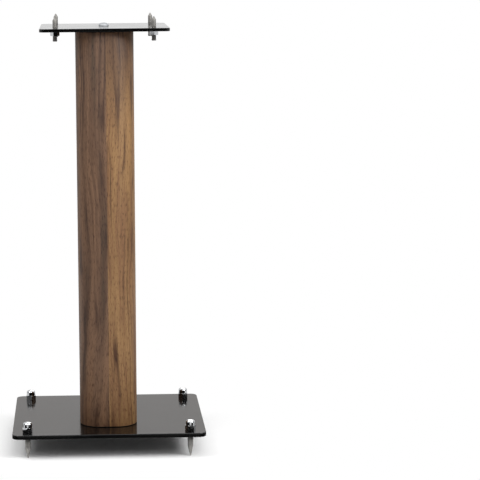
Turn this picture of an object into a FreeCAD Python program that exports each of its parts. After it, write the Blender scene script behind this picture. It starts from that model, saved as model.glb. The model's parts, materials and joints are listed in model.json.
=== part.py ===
"""Floor-standing loudspeaker stand, one of a pair.

A gloss black steel base plate carries a walnut-veneered column of oblong
section, and the column carries a gloss black steel top plate.  One bolt up
through the base plate and one down through the top plate hold the three
together.  Four spikes are screwed through the corners of the base plate and
locked by domed nuts on top of it.  Four smaller spikes stand up through the
corners of the top plate for the loudspeaker, locked by hexagon nuts below it.

Lengths are millimetres.  Z is up and the floor is z = 0, with the origin
under the middle of the column.  The front of the stand faces -Y.
"""

import FreeCAD, Part
import math
import os

Vector = FreeCAD.Vector
UP = Vector(0, 0, 1)

# ---- plates ------------------------------------------------------------
BASE_WIDTH = 265.0
BASE_DEPTH = 233.0
BASE_THICKNESS = 6.0
BASE_CORNER_RADIUS = 10.0

TOP_WIDTH = 175.0
TOP_DEPTH = 175.0
TOP_THICKNESS = 4.5
TOP_CORNER_RADIUS = 7.0

PLATE_ARRIS = 0.5            # flat broken along every long edge of a plate

# ---- column: veneer, glued over a tube, closed by a block at each end -----
COLUMN_LENGTH = 541.5
COLUMN_WIDTH = 79.0
COLUMN_DEPTH = 155.0
COLUMN_CORNER_RADIUS = 29.0
VENEER_THICKNESS = 0.8
TUBE_WALL = 9.0
GLUE_LINE = 0.1              # between the veneer and the tube
BLOCK_LENGTH = 40.0
BLOCK_FIT = 0.15             # between an end block and the tube round it

GASKET_THICKNESS = 1.0
GASKET_INSET = 1.2           # how far the gasket's edge stays inside the veneer

# ---- plate bolts and the brass inserts that they screw into ----------------
BOLT_DIAMETER = 8.0
BOLT_LENGTH = 20.0           # under the head
BOLT_HEAD_DIAMETER = 14.0
BOLT_HEAD_HEIGHT = 4.4
BOLT_SOCKET_FLATS = 5.0
BOLT_SOCKET_DEPTH = 2.6
BOLT_TIP_CHAMFER = 0.8
BOLT_HOLE_CLEARANCE = 0.5    # all round, in the plate

INSERT_DIAMETER = 12.5
INSERT_LENGTH = 17.0
INSERT_FLANGE_DIAMETER = 17.0
INSERT_FLANGE_THICKNESS = 1.5
INSERT_FIT = 0.1             # between the insert and the block round it
PILOT_EXTRA_DEPTH = 5.0      # how much deeper the block is drilled than the insert

# ---- spikes ----------------------------------------------------------------
SPIKE_EDGE_DISTANCE = 21.0   # from a spike's axis to each edge of its plate
TIP_FLAT_DIAMETER = 1.2
THREAD_CLEARANCE = 0.05      # all round a spike in its plate and nut
THREAD_END_CHAMFER = 0.7

FLOOR_SPIKE_DIAMETER = 8.0
FLOOR_SPIKE_DROP = 31.0      # below the base plate
FLOOR_SPIKE_CONE = 14.0
FLOOR_SPIKE_IN_NUT = 6.5     # above the base plate

SPEAKER_SPIKE_DIAMETER = 6.35  # a quarter of an inch
SPEAKER_SPIKE_RISE = 15.0    # above the top plate
SPEAKER_SPIKE_CONE = 4.5
SPEAKER_SPIKE_SHANK_DIAMETER = 5.9
SPEAKER_SPIKE_SHOULDER = 2.0  # thread that shows above the plate
SPEAKER_SPIKE_TAIL = 7.5     # below the lock nut
SPEAKER_SOCKET_FLATS = 3.0
SPEAKER_SOCKET_DEPTH = 4.0

# ---- nuts ------------------------------------------------------------------
NUT_SEAT_GAP = 0.03          # under a tightened nut
CAP_NUT_FLATS = 13.0
CAP_NUT_HEIGHT = 14.0
CAP_NUT_HEX_HEIGHT = 6.5
CAP_NUT_DOME_DIAMETER = 12.5
CAP_NUT_CROWN_RADIUS = 12.0   # the shallow top
CAP_NUT_SHOULDER_RADIUS = 3.0  # rounds the top into the side
CAP_NUT_BORE_DEPTH = 11.0
LOCK_NUT_FLATS = 11.1
LOCK_NUT_HEIGHT = 5.5
NUT_MOUTH_CHAMFER = 0.6
DRILL_POINT_ANGLE = 118.0

# ---- heights that follow from the sizes above ------------------------------
BASE_UNDERSIDE = FLOOR_SPIKE_DROP
BASE_TOP = BASE_UNDERSIDE + BASE_THICKNESS
COLUMN_FOOT = BASE_TOP + GASKET_THICKNESS
COLUMN_HEAD = COLUMN_FOOT + COLUMN_LENGTH
TOP_UNDERSIDE = COLUMN_HEAD + GASKET_THICKNESS
TOP_FACE = TOP_UNDERSIDE + TOP_THICKNESS

FLOOR_BORE_RADIUS = FLOOR_SPIKE_DIAMETER / 2 + THREAD_CLEARANCE
SPEAKER_BORE_RADIUS = SPEAKER_SPIKE_DIAMETER / 2 + THREAD_CLEARANCE
BOLT_HOLE_RADIUS = BOLT_DIAMETER / 2 + BOLT_HOLE_CLEARANCE
INSERT_BORE_RADIUS = BOLT_DIAMETER / 2 + THREAD_CLEARANCE


# ---- shapes that are used more than once -------------------------------------
def rounded_slab(width, depth, radius, bottom, height):
    """A slab centred on the Z axis, with round vertical corners."""
    slab = Part.makeBox(width, depth, height, Vector(-width / 2, -depth / 2, bottom))
    corners = [edge for edge in slab.Edges if is_vertical(edge)]
    return slab.makeFillet(radius, corners)


def is_vertical(edge):
    along = edge.tangentAt(edge.FirstParameter)
    return abs(along.z) > 0.999


def column_section(inset, bottom, height):
    """The column's outline, drawn in from the veneer's face by an inset."""
    return rounded_slab(
        COLUMN_WIDTH - 2 * inset,
        COLUMN_DEPTH - 2 * inset,
        COLUMN_CORNER_RADIUS - inset,
        bottom,
        height,
    )


def rod(radius, bottom, height, x=0.0, y=0.0):
    return Part.makeCylinder(radius, height, Vector(x, y, bottom), UP)


def hexagon(flats, bottom, height):
    """A hexagonal prism on the Z axis, with two of its flats facing +-Y."""
    corner_radius = flats / math.sqrt(3)
    corners = []
    for step in range(7):
        angle = math.radians(60 * step)
        x = corner_radius * math.cos(angle)
        y = corner_radius * math.sin(angle)
        corners.append(Vector(x, y, bottom))
    return Part.Face(Part.makePolygon(corners)).extrude(UP * height)


def turned(profile):
    """A turned solid: the profile is a closed run of (radius, height) points
    and arcs, where an arc is written as its middle point and its end."""
    edges = []
    here = Vector(profile[0][0], 0, profile[0][1])
    for step in profile[1:]:
        there = Vector(step[-2], 0, step[-1])
        if len(step) == 4:
            middle = Vector(step[0], 0, step[1])
            edges.append(Part.Arc(here, middle, there).toShape())
        else:
            edges.append(Part.LineSegment(here, there).toShape())
        here = there
    face = Part.Face(Part.Wire(edges))
    return face.revolve(Vector(0, 0, 0), UP, 360)


def chamfered_hexagon(flats, bottom, height, chamfer_top, chamfer_bottom):
    """A nut's hexagon, its corners turned off at 30 degrees."""
    corner_radius = flats / math.sqrt(3)
    flat_radius = flats / 2
    drop = (corner_radius - flat_radius) * math.tan(math.radians(30))
    low = drop if chamfer_bottom else 0.0
    high = drop if chamfer_top else 0.0
    low_radius = flat_radius if chamfer_bottom else corner_radius
    high_radius = flat_radius if chamfer_top else corner_radius
    turned_outline = [(0, bottom), (low_radius, bottom)]
    if chamfer_bottom:
        turned_outline.append((corner_radius, bottom + low))
    if chamfer_top:
        turned_outline.append((corner_radius, bottom + height - high))
    turned_outline.append((high_radius, bottom + height))
    turned_outline.append((0, bottom + height))
    turned_outline.append((0, bottom))
    return hexagon(flats, bottom, height).common(turned(turned_outline))


def mouth(radius, chamfer, face_height, inwards):
    """The cone cut away at the mouth of a threaded hole."""
    wide = radius + chamfer
    if inwards > 0:
        return Part.makeCone(wide, radius, chamfer, Vector(0, 0, face_height), UP)
    return Part.makeCone(radius, wide, chamfer, Vector(0, 0, face_height - chamfer), UP)


def spike_places(width, depth):
    """Where the four spikes of a plate stand, by corner."""
    x = width / 2 - SPIKE_EDGE_DISTANCE
    y = depth / 2 - SPIKE_EDGE_DISTANCE
    return {
        "front_left": (-x, -y),
        "front_right": (x, -y),
        "back_left": (-x, y),
        "back_right": (x, y),
    }


# ---- plates --------------------------------------------------------------------
def plate(width, depth, radius, bottom, thickness, bore_radius):
    """A steel plate with its edges broken, one bolt hole in the middle and a
    tapped hole near each corner."""
    slab = rounded_slab(width, depth, radius, bottom, thickness)
    rims = [edge for edge in slab.Edges if not is_vertical(edge)]
    slab = slab.makeChamfer(PLATE_ARRIS, rims)
    slab = slab.cut(rod(BOLT_HOLE_RADIUS, bottom, thickness))
    for x, y in spike_places(width, depth).values():
        slab = slab.cut(rod(bore_radius, bottom, thickness, x, y))
    return slab


def base_plate():
    return plate(BASE_WIDTH, BASE_DEPTH, BASE_CORNER_RADIUS,
                 BASE_UNDERSIDE, BASE_THICKNESS, FLOOR_BORE_RADIUS)


def top_plate():
    return plate(TOP_WIDTH, TOP_DEPTH, TOP_CORNER_RADIUS,
                 TOP_UNDERSIDE, TOP_THICKNESS, SPEAKER_BORE_RADIUS)


# ---- column --------------------------------------------------------------------
TUBE_INSET = VENEER_THICKNESS + GLUE_LINE
CAVITY_INSET = TUBE_INSET + TUBE_WALL


def column_veneer():
    outside = column_section(0, COLUMN_FOOT, COLUMN_LENGTH)
    return outside.cut(column_section(VENEER_THICKNESS, COLUMN_FOOT, COLUMN_LENGTH))


def column_tube():
    outside = column_section(TUBE_INSET, COLUMN_FOOT, COLUMN_LENGTH)
    return outside.cut(column_section(CAVITY_INSET, COLUMN_FOOT, COLUMN_LENGTH))


def end_block():
    """The lower block, with its insert's hole opening downwards at the foot."""
    block = column_section(CAVITY_INSET + BLOCK_FIT, COLUMN_FOOT, BLOCK_LENGTH)
    hole_radius = INSERT_DIAMETER / 2 + INSERT_FIT
    flange_radius = INSERT_FLANGE_DIAMETER / 2 + INSERT_FIT
    hole_depth = INSERT_LENGTH + PILOT_EXTRA_DEPTH
    block = block.cut(rod(hole_radius, COLUMN_FOOT, hole_depth))
    return block.cut(rod(flange_radius, COLUMN_FOOT, INSERT_FLANGE_THICKNESS))


def insert():
    """The lower brass insert, its flange flush with the foot of the block."""
    barrel = rod(INSERT_DIAMETER / 2, COLUMN_FOOT, INSERT_LENGTH)
    flange = rod(INSERT_FLANGE_DIAMETER / 2, COLUMN_FOOT, INSERT_FLANGE_THICKNESS)
    body = barrel.fuse(flange).removeSplitter()
    return body.cut(rod(INSERT_BORE_RADIUS, COLUMN_FOOT, INSERT_LENGTH))


def gasket(bottom):
    """A thin black pad between the column's end and a plate, open round the bolt."""
    pad = column_section(GASKET_INSET, bottom, GASKET_THICKNESS)
    return pad.cut(rod(INSERT_FLANGE_DIAMETER / 2, bottom, GASKET_THICKNESS))


def to_column_head(shape):
    """Turns a piece of the column's foot over, end for end, to its head."""
    turned_over = shape.copy()
    turned_over.rotate(Vector(0, 0, 0), Vector(1, 0, 0), 180)
    turned_over.translate(Vector(0, 0, COLUMN_FOOT + COLUMN_HEAD))
    return turned_over


def bolt():
    """A button-head bolt, standing head down with its seat at z = 0."""
    head_radius = BOLT_HEAD_DIAMETER / 2
    shank_radius = BOLT_DIAMETER / 2
    crown_radius = BOLT_SOCKET_FLATS / math.sqrt(3) + 0.4
    rim = 0.7
    outline = [
        (0, -BOLT_HEAD_HEIGHT),
        (crown_radius, -BOLT_HEAD_HEIGHT),
        (head_radius * 0.86, -BOLT_HEAD_HEIGHT * 0.62, head_radius, -rim),
        (head_radius, 0),
        (shank_radius, 0),
        (shank_radius, BOLT_LENGTH - BOLT_TIP_CHAMFER),
        (shank_radius - BOLT_TIP_CHAMFER, BOLT_LENGTH),
        (0, BOLT_LENGTH),
        (0, -BOLT_HEAD_HEIGHT),
    ]
    socket = hexagon(BOLT_SOCKET_FLATS, -BOLT_HEAD_HEIGHT, BOLT_SOCKET_DEPTH)
    return turned(outline).cut(socket)


def base_plate_bolt():
    shape = bolt()
    shape.translate(Vector(0, 0, BASE_UNDERSIDE))
    return shape


def top_plate_bolt():
    shape = bolt()
    shape.rotate(Vector(0, 0, 0), Vector(1, 0, 0), 180)
    shape.translate(Vector(0, 0, TOP_FACE))
    return shape


# ---- spikes and nuts, each made on the Z axis at its own height ------------------
def floor_spike():
    radius = FLOOR_SPIKE_DIAMETER / 2
    head = BASE_TOP + FLOOR_SPIKE_IN_NUT
    return turned([
        (0, 0),
        (TIP_FLAT_DIAMETER / 2, 0),
        (radius, FLOOR_SPIKE_CONE),
        (radius, head - THREAD_END_CHAMFER),
        (radius - THREAD_END_CHAMFER, head),
        (0, head),
        (0, 0),
    ])


def cap_nut():
    """A nut closed by a low dome: straight sides, a rounded shoulder and a
    shallow crown, each running smoothly into the next."""
    seat = BASE_TOP + NUT_SEAT_GAP
    dome_radius = CAP_NUT_DOME_DIAMETER / 2
    crown = seat + CAP_NUT_HEIGHT
    crown_centre = crown - CAP_NUT_CROWN_RADIUS
    shoulder_x = dome_radius - CAP_NUT_SHOULDER_RADIUS
    apart = CAP_NUT_CROWN_RADIUS - CAP_NUT_SHOULDER_RADIUS
    shoulder_z = crown_centre + math.sqrt(apart ** 2 - shoulder_x ** 2)
    joint = math.acos(shoulder_x / apart)
    half_shoulder = joint / 2
    half_crown = (joint + math.pi / 2) / 2
    dome = turned([
        (0, seat),
        (dome_radius, seat),
        (dome_radius, shoulder_z),
        (
            shoulder_x + CAP_NUT_SHOULDER_RADIUS * math.cos(half_shoulder),
            shoulder_z + CAP_NUT_SHOULDER_RADIUS * math.sin(half_shoulder),
            CAP_NUT_CROWN_RADIUS * math.cos(joint),
            crown_centre + CAP_NUT_CROWN_RADIUS * math.sin(joint),
        ),
        (
            CAP_NUT_CROWN_RADIUS * math.cos(half_crown),
            crown_centre + CAP_NUT_CROWN_RADIUS * math.sin(half_crown),
            0,
            crown,
        ),
        (0, seat),
    ])
    hexagonal = chamfered_hexagon(CAP_NUT_FLATS, seat, CAP_NUT_HEX_HEIGHT, True, True)
    point_depth = FLOOR_BORE_RADIUS / math.tan(math.radians(DRILL_POINT_ANGLE / 2))
    bore = turned([
        (0, seat),
        (FLOOR_BORE_RADIUS, seat),
        (FLOOR_BORE_RADIUS, seat + CAP_NUT_BORE_DEPTH - point_depth),
        (0, seat + CAP_NUT_BORE_DEPTH),
        (0, seat),
    ])
    nut = dome.fuse(hexagonal).removeSplitter().cut(bore)
    return nut.cut(mouth(FLOOR_BORE_RADIUS, NUT_MOUTH_CHAMFER, seat, 1))


def speaker_spike():
    radius = SPEAKER_SPIKE_DIAMETER / 2
    shank = SPEAKER_SPIKE_SHANK_DIAMETER / 2
    tip = TOP_FACE + SPEAKER_SPIKE_RISE
    shoulder = TOP_FACE + SPEAKER_SPIKE_SHOULDER
    tail = TOP_UNDERSIDE - NUT_SEAT_GAP - LOCK_NUT_HEIGHT - SPEAKER_SPIKE_TAIL
    spike = turned([
        (0, tail),
        (radius - THREAD_END_CHAMFER, tail),
        (radius, tail + THREAD_END_CHAMFER),
        (radius, shoulder),
        (shank, shoulder + (radius - shank)),
        (shank, tip - SPEAKER_SPIKE_CONE),
        (TIP_FLAT_DIAMETER / 2, tip),
        (0, tip),
        (0, tail),
    ])
    return spike.cut(hexagon(SPEAKER_SOCKET_FLATS, tail, SPEAKER_SOCKET_DEPTH))


def lock_nut():
    seat = TOP_UNDERSIDE - NUT_SEAT_GAP
    bottom = seat - LOCK_NUT_HEIGHT
    nut = chamfered_hexagon(LOCK_NUT_FLATS, bottom, LOCK_NUT_HEIGHT, True, True)
    nut = nut.cut(rod(SPEAKER_BORE_RADIUS, bottom, LOCK_NUT_HEIGHT))
    nut = nut.cut(mouth(SPEAKER_BORE_RADIUS, NUT_MOUTH_CHAMFER, bottom, 1))
    return nut.cut(mouth(SPEAKER_BORE_RADIUS, NUT_MOUTH_CHAMFER, seat, -1))


# Each nut stopped at its own angle when it was tightened.
CAP_NUT_TURN = {"front_left": 20.0, "front_right": 8.0, "back_left": 41.0, "back_right": 27.0}
LOCK_NUT_TURN = {"front_left": 12.0, "front_right": 33.0, "back_left": 50.0, "back_right": 3.0}


def at_corner(shape, place, turn=0.0):
    moved = shape.copy()
    moved.rotate(Vector(0, 0, 0), UP, turn)
    moved.translate(Vector(place[0], place[1], 0))
    return moved


def all_pieces():
    pieces = {
        "base_plate": base_plate(),
        "top_plate": top_plate(),
        "column_tube": column_tube(),
        "column_veneer": column_veneer(),
        "base_end_block": end_block(),
        "top_end_block": to_column_head(end_block()),
        "base_insert": insert(),
        "top_insert": to_column_head(insert()),
        "base_gasket": gasket(BASE_TOP),
        "top_gasket": gasket(COLUMN_HEAD),
        "base_plate_bolt": base_plate_bolt(),
        "top_plate_bolt": top_plate_bolt(),
    }
    for corner, place in spike_places(BASE_WIDTH, BASE_DEPTH).items():
        pieces["floor_spike_" + corner] = at_corner(floor_spike(), place)
        pieces["cap_nut_" + corner] = at_corner(cap_nut(), place, CAP_NUT_TURN[corner])
    for corner, place in spike_places(TOP_WIDTH, TOP_DEPTH).items():
        pieces["speaker_spike_" + corner] = at_corner(speaker_spike(), place)
        pieces["lock_nut_" + corner] = at_corner(lock_nut(), place, LOCK_NUT_TURN[corner])
    return pieces


def main():
    os.makedirs("parts", exist_ok=True)
    for name, shape in all_pieces().items():
        if not shape.isValid() or shape.Volume <= 0:
            raise ValueError("bad solid: " + name)
        shape.exportStep(os.path.join("parts", name + ".step"))
        box = shape.BoundBox
        print("%-26s %2d solid  %10.1f mm3  z %.2f to %.2f" % (
            name, len(shape.Solids), shape.Volume, box.ZMin, box.ZMax))


main()
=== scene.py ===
import json
import math

import bmesh
import bpy
from mathutils import Euler, Matrix, Vector


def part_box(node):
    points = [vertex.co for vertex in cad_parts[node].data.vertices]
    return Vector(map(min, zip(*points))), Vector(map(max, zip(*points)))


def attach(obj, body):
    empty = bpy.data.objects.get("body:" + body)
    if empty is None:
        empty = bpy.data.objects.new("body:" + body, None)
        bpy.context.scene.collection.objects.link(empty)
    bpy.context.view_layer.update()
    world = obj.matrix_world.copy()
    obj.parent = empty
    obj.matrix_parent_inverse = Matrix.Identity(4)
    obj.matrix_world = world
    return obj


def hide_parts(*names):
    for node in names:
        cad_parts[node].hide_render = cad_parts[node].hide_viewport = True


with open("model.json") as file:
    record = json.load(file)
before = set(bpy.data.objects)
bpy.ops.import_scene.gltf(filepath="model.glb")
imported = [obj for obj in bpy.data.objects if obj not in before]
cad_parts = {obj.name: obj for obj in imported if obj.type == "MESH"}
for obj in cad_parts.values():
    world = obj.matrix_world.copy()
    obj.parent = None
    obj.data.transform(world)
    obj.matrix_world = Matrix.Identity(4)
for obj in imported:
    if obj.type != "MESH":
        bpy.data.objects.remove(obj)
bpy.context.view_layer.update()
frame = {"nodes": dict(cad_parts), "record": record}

MM = 0.001
nodes = frame["nodes"]
CORNERS = ("front_left", "front_right", "back_left", "back_right")

# ---- sizes of the object, in millimetres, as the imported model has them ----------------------
BASE_WIDTH = 265.0
BASE_DEPTH = 233.0
COLUMN_WIDTH = 79.0
COLUMN_DEPTH = 155.0
COLUMN_RADIUS = 29.0
VENEER = 0.8
FLOOR_SPIKE_CONE = 14.0
FLOOR_SPIKE_SHANK = 3.9        # radius
FLOOR_SPIKE_PLAIN = 23.5       # height at which the floor spike's thread begins
FLOOR_SPIKE_END = 3.3          # radius of the end, inside its chamfer
SPEAKER_SPIKE_CONE = 4.5
SPEAKER_SPIKE_SHANK = 2.95     # radius
SPEAKER_SPIKE_SHOULDER = 13.0  # from the tip down to the end of the thread
SPEAKER_SPIKE_END = 2.5        # radius of the tail, inside its chamfer
END_CHAMFER = 0.7              # height of the chamfer at a spike's threaded end
TIP_RADIUS = 0.6               # a tip is blunt: a small flat, rounded off
TIP_FLAT = 0.48
TIP_ROUND = 0.15
THREAD_STEP = 0.2              # from the speaker spike's thread to its plain shank
SOCKET_FLATS = 3.0
SOCKET_DEPTH = 4.0
# the points that round a cone into its shank: how far in from the shank, and how
# far above the height where cone and shank would meet
FLOOR_CONE_ROUNDING = ((0.12, -0.45), (0.02, -0.1), (0.0, 0.3))
SPEAKER_CONE_ROUNDING = ((0.0, -0.15), (0.08, 0.2))

# ---- how far edges are eased, in millimetres ------------------------------------------------
PLATE_EASE = 0.25
BOLT_EASE = 0.15
NUT_EASE = 0.12
VENEER_EASE = 0.15

# ---- how fine the meshes are ----------------------------------------------------------------
EASE_STEPS = 2
CORNER_STEPS = 20              # round each corner of the column
SPIN_STEPS = 36                # round each spike
ROWS_PER_TURN = 8              # along each turn of a thread
SAME_POINT = 0.002             # mm, in a copy of a node
SAME_SPUN_POINT = 0.0005       # mm, where a spun outline meets itself
FLAT_ANGLE = 0.4               # degrees, under which two faces are one
SHARP_ANGLE = 20.0             # degrees, over which a node's edge is eased
RIM_ANGLE = 70.0               # degrees, which only the veneer's rims turn by more than
SMOOTH_ANGLE = 32.0            # degrees, under which faces shade as one
SMOOTH_THREAD_ANGLE = 40.0


# ---- colour and nodes -----------------------------------------------------------------------
def linear(hex_colour):
    """An sRGB hex colour as the linear colour that a shader takes."""
    channels = [int(hex_colour[i:i + 2], 16) / 255 for i in (1, 3, 5)]
    bent = [c / 12.92 if c <= 0.04045 else ((c + 0.055) / 1.055) ** 2.4 for c in channels]
    return (*bent, 1.0)


def add(tree, kind, inputs=None, stops=None, **settings):
    """Adds a node; an input is a value, or the output socket that feeds it, and
    stops are a colour ramp's (place, hex colour) pairs."""
    made = tree.nodes.new(kind)
    for name, value in settings.items():
        setattr(made, name, value)
    if stops:
        ramp = made.color_ramp.elements
        while len(ramp) < len(stops):
            ramp.new(1.0)
        for element, (place, colour) in zip(ramp, stops):
            element.position = place
            element.color = linear(colour)
    for socket, value in (inputs or {}).items():
        if isinstance(value, bpy.types.NodeSocket):
            tree.links.new(value, made.inputs[socket])
        else:
            made.inputs[socket].default_value = value
    return made


def new_material(name):
    """An empty node material and its tree."""
    material = bpy.data.materials.new(name)
    material.use_nodes = True
    tree = material.node_tree
    tree.nodes.clear()
    return material, tree


def finish_material(tree, shader):
    """Sends a shader node to the material's surface."""
    add(tree, "ShaderNodeOutputMaterial", {"Surface": shader.outputs[0]})


# ---- materials of the object ----------------------------------------------------------------
def gloss_black_powder_coat():
    """Polyester powder coat, baked on steel: black, glossy, with a faint orange
    peel that wavers reflections, and soft wiping marks in the gloss."""
    orange_peel, peel_depth, wiping_marks = 2.2 * MM, 0.012 * MM, 38 * MM
    material, tree = new_material("gloss_black_powder_coat")
    place = add(tree, "ShaderNodeTexCoord").outputs["Object"]
    peel = add(tree, "ShaderNodeTexNoise", {
        "Vector": place, "Scale": 1 / orange_peel, "Detail": 2.0})
    wiping = add(tree, "ShaderNodeTexNoise", {
        "Vector": place, "Scale": 1 / wiping_marks, "Detail": 4.0, "Roughness": 0.62,
        "Distortion": 0.8})
    gloss = add(tree, "ShaderNodeMapRange", {
        "Value": wiping.outputs["Fac"], "From Min": 0.35, "From Max": 0.7,
        "To Min": 0.12, "To Max": 0.17})
    colour = add(tree, "ShaderNodeValToRGB", {"Fac": wiping.outputs["Fac"]},
                 stops=[(0.3, "#040404"), (0.75, "#070707")])
    bump = add(tree, "ShaderNodeBump", {
        "Height": peel.outputs["Fac"], "Strength": 0.25, "Distance": peel_depth})
    shader = add(tree, "ShaderNodeBsdfPrincipled", {
        "Base Color": colour.outputs["Color"], "Roughness": gloss.outputs["Result"],
        "IOR": 1.43, "Normal": bump.outputs["Normal"]})
    finish_material(tree, shader)
    return material


# the sizes of the veneer's figure, in metres
LEAF_WIDTH = 104.55 * MM       # four leaves go round the column
LEAF_SEAM = 1.0 * MM           # the joint in front, right of the middle
WANDER = 34 * MM               # the whole range of the grain's sideways swing
STREAK_PLACE = 4 * MM          # along the swung grain: about 13 mm left of the middle
STREAK_CORE = 1 * MM           # half the width of its darkest part
STREAK_EDGE = 8 * MM           # half the width of the whole streak
PORE_DEPTH = 0.05 * MM
PAINTED_SHADE_FROM = 0.43            # height above the floor where the pale leaf's painted shade under the top plate begins; it is full at the next height
PAINTED_SHADE_FULL = 0.575
LEAF_SHIFT = 0.73              # no length: each leaf is cut from its own part of the noise

# how many of each feature go into a metre, across the grain and along it
SWINGS = (14.0, 4.5, 1.0)      # one in 70 mm, and one in 220 mm along the grain
BANDS = (110.0, 1.8, 1.0)      # growth bands: one in 9 mm, half a metre long
FIBRES = (760.0, 22.0, 1.0)    # really finer: drawn one in 1.3 mm, so that they show
VEINS = (48.0, 1.5, 1.0)       # one swell of the vein lines in 20 mm
FADES = (70.0, 11.0, 1.0)      # where vein lines come and go: one in 90 mm along
PORES = (900.0, 140.0, 1.0)    # really 0.2 mm wide: drawn 1 mm wide and 7 mm long
CLOUDS = (26.0, 5.0, 1.0)      # clouds of colour: 40 mm wide and 200 mm tall
VEIN_LEVELS = 8.0              # vein lines in the whole range of a swell

# colours from the darkest figure to the palest
FIGURE = (0.38, 0.45, 0.51, 0.58)
DARK_LEAF = ("#3f2e20", "#513928", "#5d4431", "#694d37")
PALE_LEAF = ("#593c22", "#6d4d31", "#7a5b38", "#886741")
# the pale leaf's colours in the painted shade under the top plate, drawn darker and browner
PAINTED_SHADE_LEAF = ("#372617", "#48301d", "#523924", "#5d4129")
VEIN_COLOUR = "#9a8676"        # vein lines and pores multiply the wood under them
PORE_COLOUR = "#b09f90"


def leaf_under(tree, round_it):
    """The leaf under a point, counted from the joint in front: its tone, 0 for a
    pale leaf and 1 for a dark one, and its own shift in the noise."""
    from_seam = add(tree, "ShaderNodeMath", {0: round_it, 1: LEAF_SEAM}, operation="SUBTRACT")
    in_leaves = add(tree, "ShaderNodeMath", {0: from_seam.outputs[0], 1: LEAF_WIDTH},
                    operation="DIVIDE")
    leaf = add(tree, "ShaderNodeMath", {0: in_leaves.outputs[0]}, operation="FLOOR")
    tone = add(tree, "ShaderNodeMath", {0: leaf.outputs[0], 1: 1.0}, operation="PINGPONG")
    shift = add(tree, "ShaderNodeMath", {0: leaf.outputs[0], 1: LEAF_SHIFT},
                operation="MULTIPLY")
    return tone.outputs[0], shift.outputs[0]


def wandering_grain(tree, round_it, height, shift):
    """The run round the column along the grain, which wanders sideways by a few
    millimetres over a hand's length, and the place on the leaf that goes with it."""
    place = add(tree, "ShaderNodeCombineXYZ", {"X": round_it, "Y": height, "Z": shift})
    slow = add(tree, "ShaderNodeMapping", {"Vector": place.outputs[0], "Scale": SWINGS})
    wander = add(tree, "ShaderNodeTexNoise", {
        "Vector": slow.outputs[0], "Scale": 1.0, "Detail": 2.5, "Roughness": 0.5})
    swing = add(tree, "ShaderNodeMath", {0: wander.outputs["Fac"], 1: WANDER, 2: round_it},
                operation="MULTIPLY_ADD")
    grain = add(tree, "ShaderNodeCombineXYZ", {
        "X": swing.outputs[0], "Y": height, "Z": shift})
    return swing.outputs[0], grain.outputs[0]


def vein_lines(tree, grain):
    """Dark vein lines: level lines of a slow noise, which run side by side and come
    and go along the leaf."""
    veins_at = add(tree, "ShaderNodeMapping", {
        "Vector": grain, "Scale": VEINS, "Location": (3.1, 0.4, 0.0)})
    veins = add(tree, "ShaderNodeTexNoise", {
        "Vector": veins_at.outputs[0], "Scale": 1.0, "Detail": 1.5})
    levels = add(tree, "ShaderNodeMath", {0: veins.outputs["Fac"], 1: VEIN_LEVELS},
                 operation="MULTIPLY")
    off_level = add(tree, "ShaderNodeMath", {0: levels.outputs[0], 1: 0.5},
                    operation="PINGPONG")
    crest = add(tree, "ShaderNodeMapRange", {
        "Value": off_level.outputs[0], "From Min": 0.0, "From Max": 0.28,
        "To Min": 1.0, "To Max": 0.0}, interpolation_type="SMOOTHSTEP")
    fading_at = add(tree, "ShaderNodeMapping", {"Vector": grain, "Scale": FADES})
    fading = add(tree, "ShaderNodeTexNoise", {
        "Vector": fading_at.outputs[0], "Scale": 1.0, "Detail": 2.0})
    shows = add(tree, "ShaderNodeMapRange", {
        "Value": fading.outputs["Fac"], "From Min": 0.42, "From Max": 0.62,
        "To Min": 0.05, "To Max": 1.0})
    vein = add(tree, "ShaderNodeMath", {0: crest.outputs["Result"], 1: shows.outputs["Result"]},
               operation="MULTIPLY")
    return vein.outputs[0]


def open_pores(tree, grain):
    """Short open pores along the grain: 1 in a pore, and 0 in the wood round it."""
    pores_at = add(tree, "ShaderNodeMapping", {"Vector": grain, "Scale": PORES})
    pores = add(tree, "ShaderNodeTexNoise", {
        "Vector": pores_at.outputs[0], "Scale": 1.0, "Detail": 2.0})
    pore = add(tree, "ShaderNodeMapRange", {
        "Value": pores.outputs["Fac"], "From Min": 0.52, "From Max": 0.72,
        "To Min": 0.0, "To Max": 1.0})
    return pore.outputs["Result"]


def dark_streak(tree, swing):
    """A dark streak, a finger wide, that runs the height of the column in front."""
    past_streak = add(tree, "ShaderNodeMath", {0: swing, 1: STREAK_PLACE},
                      operation="SUBTRACT")
    off_streak = add(tree, "ShaderNodeMath", {0: past_streak.outputs[0]}, operation="ABSOLUTE")
    streak = add(tree, "ShaderNodeMapRange", {
        "Value": off_streak.outputs[0], "From Min": STREAK_CORE, "From Max": STREAK_EDGE,
        "To Min": 0.04, "To Max": 0.0}, interpolation_type="SMOOTHSTEP")
    return streak.outputs["Result"]


def leaf_colour(tree, figure, tone, height):
    """The wood's colour, by its figure, on the pale and the dark leaves.  Towards the top of the
    column the pale leaf is painted darker and browner: a painted shade under the top plate."""
    dark_leaf, pale_leaf, pale_leaf_in_painted_shade = (
        add(tree, "ShaderNodeValToRGB", {"Fac": figure},
            stops=list(zip(FIGURE, colours))).outputs["Color"]
        for colours in (DARK_LEAF, PALE_LEAF, PAINTED_SHADE_LEAF))
    # painted shade under the top plate: the pale leaf turns darker with height
    painted_shade_share = add(tree, "ShaderNodeMapRange", {
        "Value": height, "From Min": PAINTED_SHADE_FROM, "From Max": PAINTED_SHADE_FULL,
        "To Min": 0.0, "To Max": 1.0}, interpolation_type="SMOOTHSTEP")
    pale_leaf_shaded = add(tree, "ShaderNodeMix", {
        "Factor": painted_shade_share.outputs["Result"], "A": pale_leaf, "B": pale_leaf_in_painted_shade}, data_type="RGBA")
    leaves = add(tree, "ShaderNodeMix", {
        "Factor": tone, "A": pale_leaf_shaded.outputs["Result"], "B": dark_leaf}, data_type="RGBA")
    return leaves.outputs["Result"]


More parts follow.
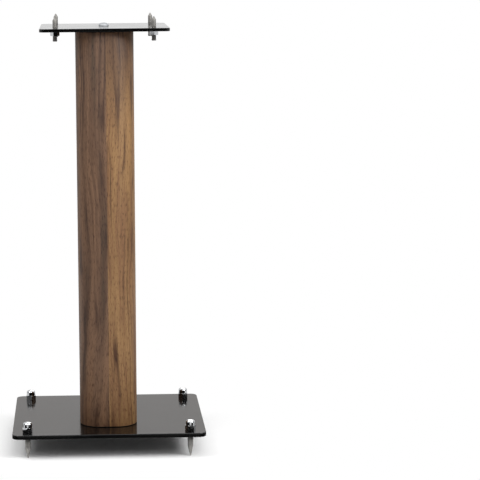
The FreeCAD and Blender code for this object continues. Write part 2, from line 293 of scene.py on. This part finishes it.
def walnut_veneer():
    """American walnut veneer under satin lacquer: straight to wavy growth
    bands, dark vein lines, short open pores, and leaves of two tones."""
    material, tree = new_material("walnut_veneer")
    run = add(tree, "ShaderNodeUVMap", uv_map="leaf_run")
    split = add(tree, "ShaderNodeSeparateXYZ", {"Vector": run.outputs["UV"]})
    round_it, height = split.outputs["X"], split.outputs["Y"]
    tone, shift = leaf_under(tree, round_it)
    swing, grain = wandering_grain(tree, round_it, height, shift)
    bands_at = add(tree, "ShaderNodeMapping", {"Vector": grain, "Scale": BANDS})
    bands = add(tree, "ShaderNodeTexNoise", {
        "Vector": bands_at.outputs[0], "Scale": 1.0, "Detail": 4.0, "Roughness": 0.6})
    fibres_at = add(tree, "ShaderNodeMapping", {"Vector": grain, "Scale": FIBRES})
    fibres = add(tree, "ShaderNodeTexNoise", {
        "Vector": fibres_at.outputs[0], "Scale": 1.0, "Detail": 3.0, "Roughness": 0.65})
    vein = vein_lines(tree, grain)
    pore = open_pores(tree, grain)
    clouds_at = add(tree, "ShaderNodeMapping", {"Vector": grain, "Scale": CLOUDS})
    clouds = add(tree, "ShaderNodeTexNoise", {
        "Vector": clouds_at.outputs[0], "Scale": 1.0, "Detail": 2.0})
    streak = dark_streak(tree, swing)

    # the figure is half growth bands, a quarter fibres and a quarter clouds
    fine = add(tree, "ShaderNodeMath", {0: fibres.outputs["Fac"], 1: clouds.outputs["Fac"]})
    coarse = add(tree, "ShaderNodeMath", {0: bands.outputs["Fac"], 1: 0.5},
                 operation="MULTIPLY")
    even = add(tree, "ShaderNodeMath", {0: fine.outputs[0], 1: 0.25, 2: coarse.outputs[0]},
               operation="MULTIPLY_ADD")
    figure = add(tree, "ShaderNodeMath", {0: even.outputs[0], 1: streak}, operation="SUBTRACT")
    leaves = leaf_colour(tree, figure.outputs[0], tone, height)
    veined = add(tree, "ShaderNodeMix", {
        "Factor": vein, "A": leaves, "B": linear(VEIN_COLOUR)},
        data_type="RGBA", blend_type="MULTIPLY")
    pored = add(tree, "ShaderNodeMix", {
        "Factor": pore, "A": veined.outputs["Result"], "B": linear(PORE_COLOUR)},
        data_type="RGBA", blend_type="MULTIPLY")

    # pores sink below the fibres, which stand up a little through the lacquer
    depth = add(tree, "ShaderNodeMath", {0: pore, 1: -0.8, 2: fibres.outputs["Fac"]},
                operation="MULTIPLY_ADD")
    bump = add(tree, "ShaderNodeBump", {
        "Height": depth.outputs[0], "Strength": 0.5, "Distance": PORE_DEPTH})
    gloss = add(tree, "ShaderNodeMapRange", {
        "Value": bands.outputs["Fac"], "From Min": 0.3, "From Max": 0.7,
        "To Min": 0.62, "To Max": 0.5})
    shader = add(tree, "ShaderNodeBsdfPrincipled", {
        "Base Color": pored.outputs["Result"], "Roughness": gloss.outputs["Result"],
        "IOR": 1.42, "Normal": bump.outputs["Normal"]})
    finish_material(tree, shader)
    return material


def raw_fibreboard():
    """Medium-density fibreboard, sawn: pale brown, felted fibres, quite matt."""
    felt_size, felt_depth = 1.2 * MM, 0.1 * MM
    material, tree = new_material("raw_fibreboard")
    place = add(tree, "ShaderNodeTexCoord").outputs["Object"]
    felt = add(tree, "ShaderNodeTexNoise", {
        "Vector": place, "Scale": 1 / felt_size, "Detail": 6.0, "Roughness": 0.7,
        "Distortion": 1.5})
    colour = add(tree, "ShaderNodeValToRGB", {"Fac": felt.outputs["Fac"]},
                 stops=[(0.25, "#8f6d47"), (0.55, "#b08c62"), (0.8, "#c5a47b")])
    bump = add(tree, "ShaderNodeBump", {
        "Height": felt.outputs["Fac"], "Strength": 0.5, "Distance": felt_depth})
    shader = add(tree, "ShaderNodeBsdfPrincipled", {
        "Base Color": colour.outputs["Color"], "Roughness": 0.88,
        "Normal": bump.outputs["Normal"]})
    finish_material(tree, shader)
    return material


def black_sheet_rubber():
    """Die-cut sheet rubber: near black, matt, with a fine cloth-like grain."""
    grit_size, grit_depth = 0.5 * MM, 0.04 * MM
    material, tree = new_material("black_sheet_rubber")
    place = add(tree, "ShaderNodeTexCoord").outputs["Object"]
    grit = add(tree, "ShaderNodeTexNoise", {
        "Vector": place, "Scale": 1 / grit_size, "Detail": 3.0})
    colour = add(tree, "ShaderNodeValToRGB", {"Fac": grit.outputs["Fac"]},
                 stops=[(0.3, "#0e0e0e"), (0.7, "#1b1b1a")])
    bump = add(tree, "ShaderNodeBump", {
        "Height": grit.outputs["Fac"], "Strength": 0.4, "Distance": grit_depth})
    shader = add(tree, "ShaderNodeBsdfPrincipled", {
        "Base Color": colour.outputs["Color"], "Roughness": 0.78, "IOR": 1.52,
        "Normal": bump.outputs["Normal"]})
    finish_material(tree, shader)
    return material


def turned_metal(name, colours, roughness, ring_spacing, ring_depth, smear):
    """A turned or ground metal: tool rings run round the Z axis, and the plating
    over them carries faint smears.  The last three are lengths in mm.  Real tool
    rings lie 0.1 to 0.3 mm apart: they are drawn coarser, so that they show."""
    material, tree = new_material(name)
    place = add(tree, "ShaderNodeTexCoord").outputs["Object"]
    # a wave of bands repeats every pi / 10 at a scale of 1
    rings = add(tree, "ShaderNodeTexWave", {
        "Vector": place, "Scale": math.pi / 10 / (ring_spacing * MM), "Distortion": 0.6,
        "Detail": 2.0, "Detail Scale": 1.5}, wave_type="BANDS", bands_direction="Z")
    smears = add(tree, "ShaderNodeTexNoise", {
        "Vector": place, "Scale": 1 / (smear * MM), "Detail": 4.0, "Roughness": 0.6})
    gloss = add(tree, "ShaderNodeMapRange", {
        "Value": smears.outputs["Fac"], "From Min": 0.3, "From Max": 0.7,
        "To Min": roughness[0], "To Max": roughness[1]})
    colour = add(tree, "ShaderNodeValToRGB", {"Fac": smears.outputs["Fac"]},
                 stops=[(0.3, colours[0]), (0.7, colours[1])])
    bump = add(tree, "ShaderNodeBump", {
        "Height": rings.outputs["Fac"], "Strength": 0.3, "Distance": ring_depth * MM})
    shader = add(tree, "ShaderNodeBsdfPrincipled", {
        "Base Color": colour.outputs["Color"], "Metallic": 1.0,
        "Roughness": gloss.outputs["Result"], "Normal": bump.outputs["Normal"]})
    finish_material(tree, shader)
    return material


# ---- shapes ---------------------------------------------------------------------------------
def show(bm, name, body, material, smooth_angle=SMOOTH_ANGLE):
    """Makes a bmesh the piece's mesh and puts the piece on its body."""
    mesh = bpy.data.meshes.new(name)
    bm.to_mesh(mesh)
    bm.free()
    for face in mesh.polygons:
        face.use_smooth = True
    mesh.set_sharp_from_angle(angle=math.radians(smooth_angle))
    mesh.materials.append(material)
    piece = bpy.data.objects.new(name, mesh)
    bpy.context.scene.collection.objects.link(piece)
    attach(piece, body)
    return piece


def edges_over(bm, angle):
    """The edges whose two faces turn by more than an angle, in degrees."""
    least = math.radians(angle)
    return [e for e in bm.edges if len(e.link_faces) == 2 and e.calc_face_angle(0.0) > least]


def eased_copy(node, name, body, material, ease):
    """A copy of a machined node with its edges eased by so many millimetres."""
    bm = bmesh.new()
    bm.from_mesh(nodes[node].data)
    bmesh.ops.remove_doubles(bm, verts=bm.verts, dist=SAME_POINT * MM)
    bmesh.ops.dissolve_limit(bm, angle_limit=math.radians(FLAT_ANGLE), verts=bm.verts,
                             edges=bm.edges)
    bmesh.ops.bevel(bm, geom=edges_over(bm, SHARP_ANGLE), offset=ease * MM,
                    offset_type="OFFSET", segments=EASE_STEPS, affect="EDGES", profile=0.5,
                    material=-1, clamp_overlap=True)
    piece = show(bm, name, body, material)
    flats = piece.modifiers.new("flats_stay_flat", "WEIGHTED_NORMAL")
    flats.mode = "FACE_AREA"
    flats.weight = 90            # of 100: the large faces decide
    flats.keep_sharp = True
    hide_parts(node)


def column_wrap(material):
    """The veneer: a shell of oblong section, closed on itself, with its ends
    trimmed flush and just eased."""
    low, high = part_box("column_veneer")
    half_height = (high.z - low.z) / 2
    bm = bmesh.new()
    bmesh.ops.create_cube(bm, size=1.0, matrix=Matrix.LocRotScale(
        (low + high) / 2, None, high - low))
    ends = [f for f in bm.faces if abs(f.normal.z) > 0.9]
    bmesh.ops.delete(bm, geom=ends, context="FACES_ONLY")
    upright = [e for e in bm.edges if abs(e.verts[0].co.z - e.verts[1].co.z) > half_height]
    bmesh.ops.bevel(bm, geom=upright, offset=COLUMN_RADIUS * MM, offset_type="OFFSET",
                    segments=CORNER_STEPS, affect="EDGES", profile=0.5, material=-1)
    for normal in (Vector((1, 0, 0)), Vector((0, 1, 0))):
        bmesh.ops.bisect_plane(bm, geom=bm.verts[:] + bm.edges[:] + bm.faces[:],
                               plane_co=(0, 0, 0), plane_no=normal)
    bmesh.ops.recalc_face_normals(bm, faces=bm.faces)
    bmesh.ops.solidify(bm, geom=bm.faces, thickness=VENEER * MM)
    bmesh.ops.recalc_face_normals(bm, faces=bm.faces)
    bmesh.ops.bevel(bm, geom=edges_over(bm, RIM_ANGLE), offset=VENEER_EASE * MM,
                    offset_type="OFFSET", segments=EASE_STEPS, affect="EDGES", profile=0.5,
                    material=-1)
    lay_leaves(bm)
    piece = show(bm, "column_wrap", "stand", material)
    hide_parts("column_veneer")


def round_the_column(x, y):
    """How far round the column a point lies, in metres, from the middle of the
    front: positive to the right, negative to the left."""
    flat_x = (COLUMN_WIDTH / 2 - COLUMN_RADIUS) * MM
    flat_y = (COLUMN_DEPTH / 2 - COLUMN_RADIUS) * MM
    radius = COLUMN_RADIUS * MM
    side = 1.0 if x >= 0 else -1.0
    x = abs(x)
    quarter = radius * math.pi / 2
    if y < -flat_y:
        if x <= flat_x:
            return side * x
        return side * (flat_x + radius * math.atan2(x - flat_x, -flat_y - y))
    if y <= flat_y:
        return side * (flat_x + quarter + y + flat_y)
    past_side = flat_x + quarter + 2 * flat_y
    if x <= flat_x:
        return side * (past_side + quarter + flat_x - x)
    return side * (past_side + radius * math.atan2(y - flat_y, x - flat_x))


def lay_leaves(bm):
    """Writes each face corner's run round the column and height, in metres."""
    layer = bm.loops.layers.uv.new("leaf_run")
    off_middle = 1e-7            # keeps a point of the middle line on its face's own side
    for face in bm.faces:
        side = 1.0 if face.calc_center_median().x >= 0 else -1.0
        for loop in face.loops:
            x, y, z = loop.vert.co
            nudged = side * max(abs(x), off_middle) if side * x <= off_middle else x
            loop[layer].uv = (round_the_column(nudged, y), z)


def spun(profile):
    """A bmesh of a (radius, height) outline in mm, spun a full turn about Z."""
    bm = bmesh.new()
    verts = [bm.verts.new((r * MM, 0, z * MM)) for r, z in profile]
    edges = [bm.edges.new(pair) for pair in zip(verts, verts[1:])]
    bmesh.ops.spin(bm, geom=verts + edges, cent=(0, 0, 0), axis=(0, 0, 1), angle=math.tau,
                   steps=SPIN_STEPS, use_merge=True)
    bmesh.ops.remove_doubles(bm, verts=bm.verts, dist=SAME_SPUN_POINT * MM)
    bmesh.ops.recalc_face_normals(bm, faces=bm.faces)
    return bm


class Thread:
    """A right-hand screw thread, as radii and a pitch in mm."""

    def __init__(self, crest, root, pitch):
        self.crest, self.root, self.pitch = crest, root, pitch

    def rows(self, bottom, top):
        """The outline of a plain shank, with rows enough to carry the thread."""
        count = int((top - bottom) / self.pitch * ROWS_PER_TURN)
        return [(self.crest, bottom + (top - bottom) * i / count) for i in range(count + 1)]

    def cut(self, bm, bottom, top):
        """Draws the shank's points in to the thread, which runs out over one
        pitch at each end.  Its flanks are straight, and its crest and root flat."""
        flank, crest_share = 1.35, 0.12
        socket_and_ends = 0.9 * self.root    # points nearer to the axis are left alone
        for vert in bm.verts:
            radius = math.hypot(vert.co.x, vert.co.y) / MM
            height = vert.co.z / MM
            if radius < socket_and_ends or not bottom < height < top:
                continue
            turn = math.atan2(vert.co.y, vert.co.x) / math.tau
            phase = (height / self.pitch - turn) % 1.0
            depth = min(1.0, max(0.0, flank * (1 - abs(2 * phase - 1)) - crest_share))
            run_out = min(1.0, (height - bottom) / self.pitch, (top - height) / self.pitch)
            wanted = self.crest - (self.crest - self.root) * depth * run_out
            vert.co.x *= min(1.0, wanted / radius)
            vert.co.y *= min(1.0, wanted / radius)


FLOOR_THREAD = Thread(crest=4.0, root=3.37, pitch=1.25)
SPEAKER_THREAD = Thread(crest=3.175, root=2.6, pitch=1.27)


def stand_spike(bm, name, node, centre, material):
    """Moves a spike from the origin to its own axis and shows it."""
    bmesh.ops.translate(bm, verts=bm.verts, vec=(centre.x, centre.y, 0))
    piece = show(bm, name, node, material, SMOOTH_THREAD_ANGLE)
    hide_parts(node)


def floor_spike(corner, material):
    """A floor spike: turned cone, a plain shank above it, then thread to its end."""
    node = "floor_spike_" + corner
    low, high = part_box(node)
    end = high.z / MM
    thread_end = end - END_CHAMFER
    cone, plain, shank = FLOOR_SPIKE_CONE, FLOOR_SPIKE_PLAIN, FLOOR_SPIKE_SHANK
    profile = [(0, 0), (TIP_FLAT, 0), (TIP_RADIUS, TIP_ROUND)]
    profile += [(shank - inset, cone + rise) for inset, rise in FLOOR_CONE_ROUNDING]
    profile += [(shank, plain)] + FLOOR_THREAD.rows(plain, thread_end)
    profile += [(FLOOR_SPIKE_END, end), (0, end)]
    bm = spun(profile)
    FLOOR_THREAD.cut(bm, plain, thread_end)
    stand_spike(bm, "levelling_" + node, node, (low + high) / 2, material)


def hexagon_socket(bm, rim, floor_z):
    """Closes a round rim with a flat land and a hexagon socket that goes up
    into the spike's tail."""
    ring = bmesh.ops.create_circle(bm, segments=6, radius=SOCKET_FLATS / math.sqrt(3) * MM,
                                   matrix=Matrix.Translation((0, 0, floor_z)))["verts"]
    mouth = [e for e in bm.edges if e.verts[0] in ring and e.verts[1] in ring]
    bmesh.ops.bridge_loops(bm, edges=rim + mouth)
    walls = bmesh.ops.extrude_edge_only(bm, edges=mouth)["geom"]
    roof = [g for g in walls if isinstance(g, bmesh.types.BMVert)]
    bmesh.ops.translate(bm, verts=roof, vec=(0, 0, SOCKET_DEPTH * MM))
    bmesh.ops.contextual_create(bm, geom=roof)
    bmesh.ops.recalc_face_normals(bm, faces=bm.faces)


def speaker_spike(corner, material):
    """A speaker spike: pointed shank, threaded shoulder, and a threaded tail
    with a socket for a hexagon key."""
    node = "speaker_spike_" + corner
    low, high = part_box(node)
    tail, tip = low.z / MM, high.z / MM
    shoulder = tip - SPEAKER_SPIKE_SHOULDER
    cone_foot = tip - SPEAKER_SPIKE_CONE
    thread_start = tail + END_CHAMFER
    shank = SPEAKER_SPIKE_SHANK
    profile = [(SPEAKER_SPIKE_END, tail)] + SPEAKER_THREAD.rows(thread_start, shoulder)
    profile += [(shank, shoulder + THREAD_STEP)]
    profile += [(shank - inset, cone_foot + rise) for inset, rise in SPEAKER_CONE_ROUNDING]
    profile += [(TIP_RADIUS, tip - TIP_ROUND), (TIP_FLAT, tip), (0, tip)]
    bm = spun(profile)
    rim = [e for e in bm.edges if e.is_boundary]
    hexagon_socket(bm, rim, tail * MM)
    SPEAKER_THREAD.cut(bm, thread_start, shoulder)
    stand_spike(bm, "pointed_" + node, node, (low + high) / 2, material)


# ---- camera, floor and light, in metres -----------------------------------------------------
CAMERA_PLACE = (-0.03505, -2.65452, 0.69536)
CAMERA_PITCH, CAMERA_YAW, CAMERA_ROLL = 0.15287, -0.0258, -0.0095    # radians
LENS, SENSOR_WIDTH = 143.85, 36.0                                    # mm
FRAME_SHIFT = 0.2292           # in frame widths: the stand is left of the middle
FLOOR_WHITE = "#fbfbfb"
FLOOR_REACH = 4.0
FLOOR_GAP = 0.02 * MM          # the floor lies this far under the spikes' tips
SHADOW_ROUNDING = 0.3
SHADOW_FADES_FROM = 0.85       # in shares of the base plate's half width and depth
SHADOW_FADES_TO = 1.5
SOFT_LIGHT = 0.28              # strength of the world's light on the object

FLAG_BLACK, FLAG_GREY = "#101010", "#e0dddb"
# each flag: name, grey, one corner, and the two edges that leave it
FLAGS = (
    ("black_card_behind_camera", FLAG_BLACK, (-3.0, -3.6, -0.1), (6.0, 0, 0), (0, 0, 1.9)),
    ("black_strip_in_front", FLAG_BLACK, (-0.6, -0.27, 0.001), (1.2, 0, 0), (0, 0.13, 0)),
    ("black_patch_in_middle", FLAG_BLACK, (-0.03, -0.32, 0.001), (0.06, 0, 0), (0, 0.07, 0)),
    ("black_patch_at_left", FLAG_BLACK, (-0.23, -0.32, 0.001), (0.035, 0, 0), (0, 0.07, 0)),
    ("black_patch_at_right", FLAG_BLACK, (0.195, -0.32, 0.001), (0.035, 0, 0), (0, 0.07, 0)),
    ("black_strip_at_left", FLAG_BLACK, (-0.27, -0.18, 0.001), (0.08, 0, 0), (0, 0.4, 0)),
    ("black_strip_at_right", FLAG_BLACK, (0.19, -0.18, 0.001), (0.08, 0, 0), (0, 0.4, 0)),
    ("black_card_at_left", FLAG_BLACK, (-1.3, -1.9, -0.1), (0, 2.5, 0), (0, 0, 0.6)),
    ("black_card_at_right", FLAG_BLACK, (1.3, -1.9, -0.1), (0, 2.5, 0), (0, 0, 0.6)),
    ("grey_card_behind", FLAG_GREY, (-1.7, 1.5, -0.1), (3.4, 0, 0), (0, 0, 0.65)))

LAMP_AIM = (0, 0, 0.2)
# each lamp: name, place, edge of its square and power in watts
LAMPS = (
    ("key_softbox", (2.05, -1.72, 2.1), 1.0, 76.0),
    ("front_softbox", (0.46, -2.35, 2.0), 1.5, 26.0),
    ("left_softbox", (-1.55, -1.0, 2.45), 1.4, 42.0),
    ("back_softbox", (0.3, 2.6, 2.2), 1.4, 26.0))


def photo_camera():
    """A long lens, nearly straight in front and a little above the top plate."""
    data = bpy.data.cameras.new("photo_camera")
    data.sensor_width = SENSOR_WIDTH
    data.lens = LENS
    data.shift_x = FRAME_SHIFT
    camera = bpy.data.objects.new("photo_camera", data)
    bpy.context.scene.collection.objects.link(camera)
    turn = (Euler((math.pi / 2 - CAMERA_PITCH, 0.0, CAMERA_YAW)).to_matrix()
            @ Matrix.Rotation(CAMERA_ROLL, 3, "Z"))
    camera.rotation_euler = turn.to_euler()
    camera.location = CAMERA_PLACE
    bpy.context.scene.camera = camera


def seen_directly(tree):
    """1 for rays of the camera, reflections and glass, and 0 for lighting rays."""
    rays = add(tree, "ShaderNodeLightPath")
    seen = add(tree, "ShaderNodeMath", {
        0: rays.outputs["Is Camera Ray"], 1: rays.outputs["Is Glossy Ray"]},
        operation="MAXIMUM")
    return add(tree, "ShaderNodeMath", {
        0: seen.outputs[0], 1: rays.outputs["Is Transmission Ray"]}, operation="MAXIMUM")


def stage(name, bm, material):
    """Makes a bmesh a thing of the studio, which isn't part of the object."""
    mesh = bpy.data.meshes.new(name)
    bm.to_mesh(mesh)
    bm.free()
    mesh.materials.append(material)
    thing = bpy.data.objects.new(name, mesh)
    bpy.context.scene.collection.objects.link(thing)
    return thing


def white_floor():
    """A white studio floor that keeps the stand's shadow and fades to plain
    white away from it."""
    material, tree = new_material("white_studio_floor")
    place = add(tree, "ShaderNodeTexCoord").outputs["Object"]
    # how far out of the base plate's footprint: 1 along the plate's own edges
    footprint = (BASE_WIDTH / 2 * MM, BASE_DEPTH / 2 * MM, 1.0)
    sizes = add(tree, "ShaderNodeVectorMath", {0: place, 1: footprint}, operation="DIVIDE")
    sizes = add(tree, "ShaderNodeVectorMath", {0: sizes.outputs[0]}, operation="ABSOLUTE")
    split = add(tree, "ShaderNodeSeparateXYZ", {"Vector": sizes.outputs[0]})
    away = add(tree, "ShaderNodeMath", {
        0: split.outputs["X"], 1: split.outputs["Y"], 2: SHADOW_ROUNDING},
        operation="SMOOTH_MAX")
    fade = add(tree, "ShaderNodeMapRange", {
        "Value": away.outputs[0], "From Min": SHADOW_FADES_FROM, "From Max": SHADOW_FADES_TO,
        "To Min": 0.0, "To Max": 1.0}, interpolation_type="SMOOTHSTEP")
    seen = seen_directly(tree)
    share = add(tree, "ShaderNodeMath", {0: seen.outputs[0], 1: fade.outputs["Result"]},
                operation="MULTIPLY")
    lit = add(tree, "ShaderNodeBsdfDiffuse", {"Color": linear(FLOOR_WHITE)})
    glow = add(tree, "ShaderNodeEmission", {"Color": (1, 1, 1, 1), "Strength": 1.0})
    finish_material(tree, add(tree, "ShaderNodeMixShader", {
        "Fac": share.outputs[0], 1: lit.outputs[0], 2: glow.outputs[0]}))
    bm = bmesh.new()
    bmesh.ops.create_grid(bm, x_segments=8, y_segments=8, size=FLOOR_REACH)
    bmesh.ops.translate(bm, verts=bm.verts, vec=(0, 0, -FLOOR_GAP))
    stage("studio_floor", bm, material)


def studio_world():
    """Plain soft light from all round; the camera and reflections see white."""
    world = bpy.data.worlds.new("studio")
    bpy.context.scene.world = world
    world.use_nodes = True
    tree = world.node_tree
    tree.nodes.clear()
    seen = seen_directly(tree)
    soft = add(tree, "ShaderNodeBackground", {"Color": (1, 1, 1, 1), "Strength": SOFT_LIGHT})
    white = add(tree, "ShaderNodeBackground", {"Color": (1, 1, 1, 1), "Strength": 1.0})
    mixed = add(tree, "ShaderNodeMixShader", {
        "Fac": seen.outputs[0], 1: soft.outputs[0], 2: white.outputs[0]})
    add(tree, "ShaderNodeOutputWorld", {"Surface": mixed.outputs[0]})


def studio_card(name, grey, corner, across, up):
    """A studio flag that only reflections see: it tones what gloss mirrors and
    casts no shadow.  It spans two edges from a corner."""
    material, tree = new_material(name)
    matt = add(tree, "ShaderNodeEmission", {"Color": linear(grey), "Strength": 1.0})
    finish_material(tree, matt)
    bm = bmesh.new()
    bmesh.ops.create_grid(bm, x_segments=1, y_segments=1, size=0.5)
    corner, across, up = Vector(corner), Vector(across), Vector(up)
    for vert in bm.verts:
        vert.co = corner + across * (vert.co.x + 0.5) + up * (vert.co.y + 0.5)
    card = stage(name, bm, material)
    card.visible_camera = card.visible_diffuse = card.visible_shadow = False
    card.visible_transmission = False


def softbox(name, place, edge, power):
    """A square soft lamp that faces the foot of the column."""
    data = bpy.data.lights.new(name, "AREA")
    data.shape = "RECTANGLE"
    data.size = data.size_y = edge
    data.energy = power
    lamp = bpy.data.objects.new(name, data)
    bpy.context.scene.collection.objects.link(lamp)
    lamp.location = place
    lamp.rotation_euler = (Vector(LAMP_AIM) - Vector(place)).to_track_quat("-Z", "Y").to_euler()


# ---- the stand ------------------------------------------------------------------------------
powder_coat = gloss_black_powder_coat()
walnut = walnut_veneer()
fibreboard = raw_fibreboard()
rubber = black_sheet_rubber()
# turned brass, unplated: warm yellow, fine rings
brass = turned_metal("turned_brass", ("#a8863f", "#c9a75b"), (0.2, 0.32),
                     ring_spacing=3.1, ring_depth=0.01, smear=6.0)
# bright zinc over pressed steel: cool grey, slightly cloudy, with soft gloss
zinc = turned_metal("bright_zinc_plated_steel", ("#95979a", "#a9abad"), (0.6, 0.7),
                    ring_spacing=5.0, ring_depth=0.003, smear=5.0)
# nickel over turned steel: warm grey, satin, with faint tool rings on the cones
nickel = turned_metal("nickel_plated_steel", ("#8a8885", "#a19f9b"), (0.4, 0.52),
                      ring_spacing=2.5, ring_depth=0.003, smear=4.0)
# the same plating on the small speaker spikes, which came out darker and more matt
matt_nickel = turned_metal("matt_nickel_plated_steel", ("#787674", "#8e8c88"), (0.6, 0.7),
                           ring_spacing=2.5, ring_depth=0.003, smear=4.0)
# polished chrome over steel: bright, cool and sharp, with the last trace of its turning
chrome = turned_metal("polished_chrome", ("#babcbe", "#cacbcd"), (0.04, 0.09),
                      ring_spacing=8.8, ring_depth=0.002, smear=5.0)

finish_of = {
    "gloss_black_steel": powder_coat, "walnut_veneer": walnut, "fibreboard": fibreboard,
    "black_rubber": rubber, "brass_insert": brass, "bright_steel": zinc,
    "nickel_plated_steel": nickel, "chrome_plated_steel": chrome}
for subpart in frame["record"]["subparts"]:
    mesh = nodes[subpart["node"]].data
    mesh.materials.clear()
    mesh.materials.append(finish_of[subpart["material_slot"]])

for plate in ("base_plate", "top_plate"):
    eased_copy(plate, plate + "_eased", "stand", powder_coat, PLATE_EASE)
for plate in ("base_plate", "top_plate"):
    eased_copy(plate + "_bolt", plate + "_screw", "stand", zinc, BOLT_EASE)
column_wrap(walnut)
for corner in CORNERS:
    for node, name in (("cap_nut_", "domed_nut_"), ("lock_nut_", "hexagon_nut_")):
        eased_copy(node + corner, name + corner, node + corner, chrome,
                   NUT_EASE)
    floor_spike(corner, nickel)
    speaker_spike(corner, matt_nickel)

photo_camera()
white_floor()
studio_world()
for flag in FLAGS:
    studio_card(*flag)
for lamp in LAMPS:
    softbox(*lamp)

bpy.context.scene.view_settings.view_transform = "Standard"
